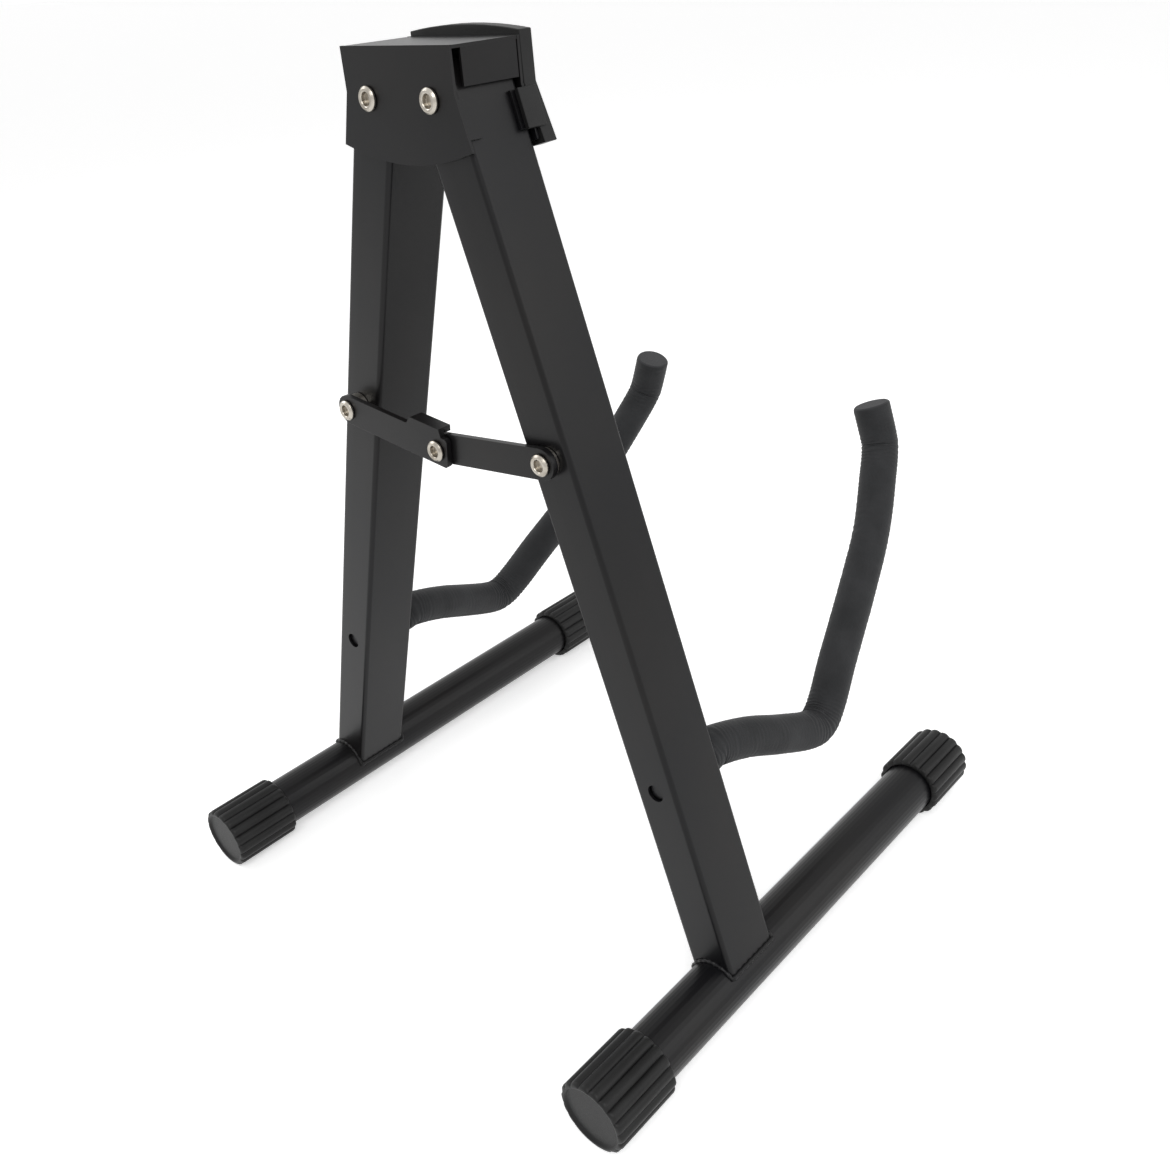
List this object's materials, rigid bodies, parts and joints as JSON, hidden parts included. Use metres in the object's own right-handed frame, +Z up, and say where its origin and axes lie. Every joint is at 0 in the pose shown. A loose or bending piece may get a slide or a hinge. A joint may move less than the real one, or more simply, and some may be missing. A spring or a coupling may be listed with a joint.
{
  "type": "guitar stand",
  "caption": "Folding A-frame floor stand with foam-covered arms that cradle a guitar body and a rubber rest pad behind it.",
  "frame": {"origin": "centre of the footprint on the floor, stand open", "axes": "+Z up, -Y is the front where the guitar stands, +X to the right seen from the front"},
  "size_m": [0.287, 0.3005, 0.3835],
  "materials": {
    "black_powder_coat": "satin black powder coat",
    "nickel": "bright nickel plate",
    "rubber": "moulded black rubber",
    "foam": "matt charcoal closed-cell foam"
  },
  "bodies": {
    "bracket": {"hinge_bracket": "black_powder_coat", "rest_pad": "rubber", "left_hinge_rivet": "nickel", "right_hinge_rivet": "nickel"},
    "left_leg": {"left_leg_tube": "black_powder_coat", "left_foot_tube": "black_powder_coat", "left_rear_cap": "rubber", "left_front_cap": "rubber", "left_arm_rod": "black_powder_coat", "left_arm_foam": "foam", "left_link_rivet_tail": "nickel"},
    "right_leg": {"right_leg_tube": "black_powder_coat", "right_foot_tube": "black_powder_coat", "right_rear_cap": "rubber", "right_front_cap": "rubber", "right_arm_rod": "black_powder_coat", "right_arm_foam": "foam", "right_link_rivet": "nickel"},
    "right_link": {"right_link": "black_powder_coat", "right_link_washer": "nickel"},
    "left_link": {"left_link": "black_powder_coat", "left_link_rivet_head": "nickel", "left_link_washer": "nickel", "centre_link_rivet": "nickel"}
  },
  "joints": [
    {"name": "left_leg_hinge", "type": "hinge", "parent": "bracket", "child": "left_leg", "pos_m": [-0.0165, 0.0693, 0.363], "axis": [0, -1, 0], "range_deg": [0, 17.72]},
    {"name": "right_leg_hinge", "type": "hinge", "parent": "bracket", "child": "right_leg", "pos_m": [0.0165, 0.0693, 0.363], "axis": [0, 1, 0], "range_deg": [0, 17.73]},
    {"name": "right_link_hinge", "type": "hinge", "parent": "right_leg", "child": "right_link", "pos_m": [0.05552, 0.0693, 0.24088], "axis": [0, 1, 0], "range_deg": [0, 61.26]},
    {"name": "centre_link_hinge", "type": "hinge", "parent": "right_link", "child": "left_link", "pos_m": [0, 0.0693, 0.23498], "axis": [0, -1, 0], "range_deg": [0, 157.86]}
  ],
  "couplings": [
    {"joint": "right_leg_hinge", "follows": "left_leg_hinge", "ratio": 1},
    {"joint": "right_link_hinge", "follows": "left_leg_hinge", "ratio": 3.4514},
    {"joint": "centre_link_hinge", "follows": "left_leg_hinge", "ratio": 8.9028}
  ]
}
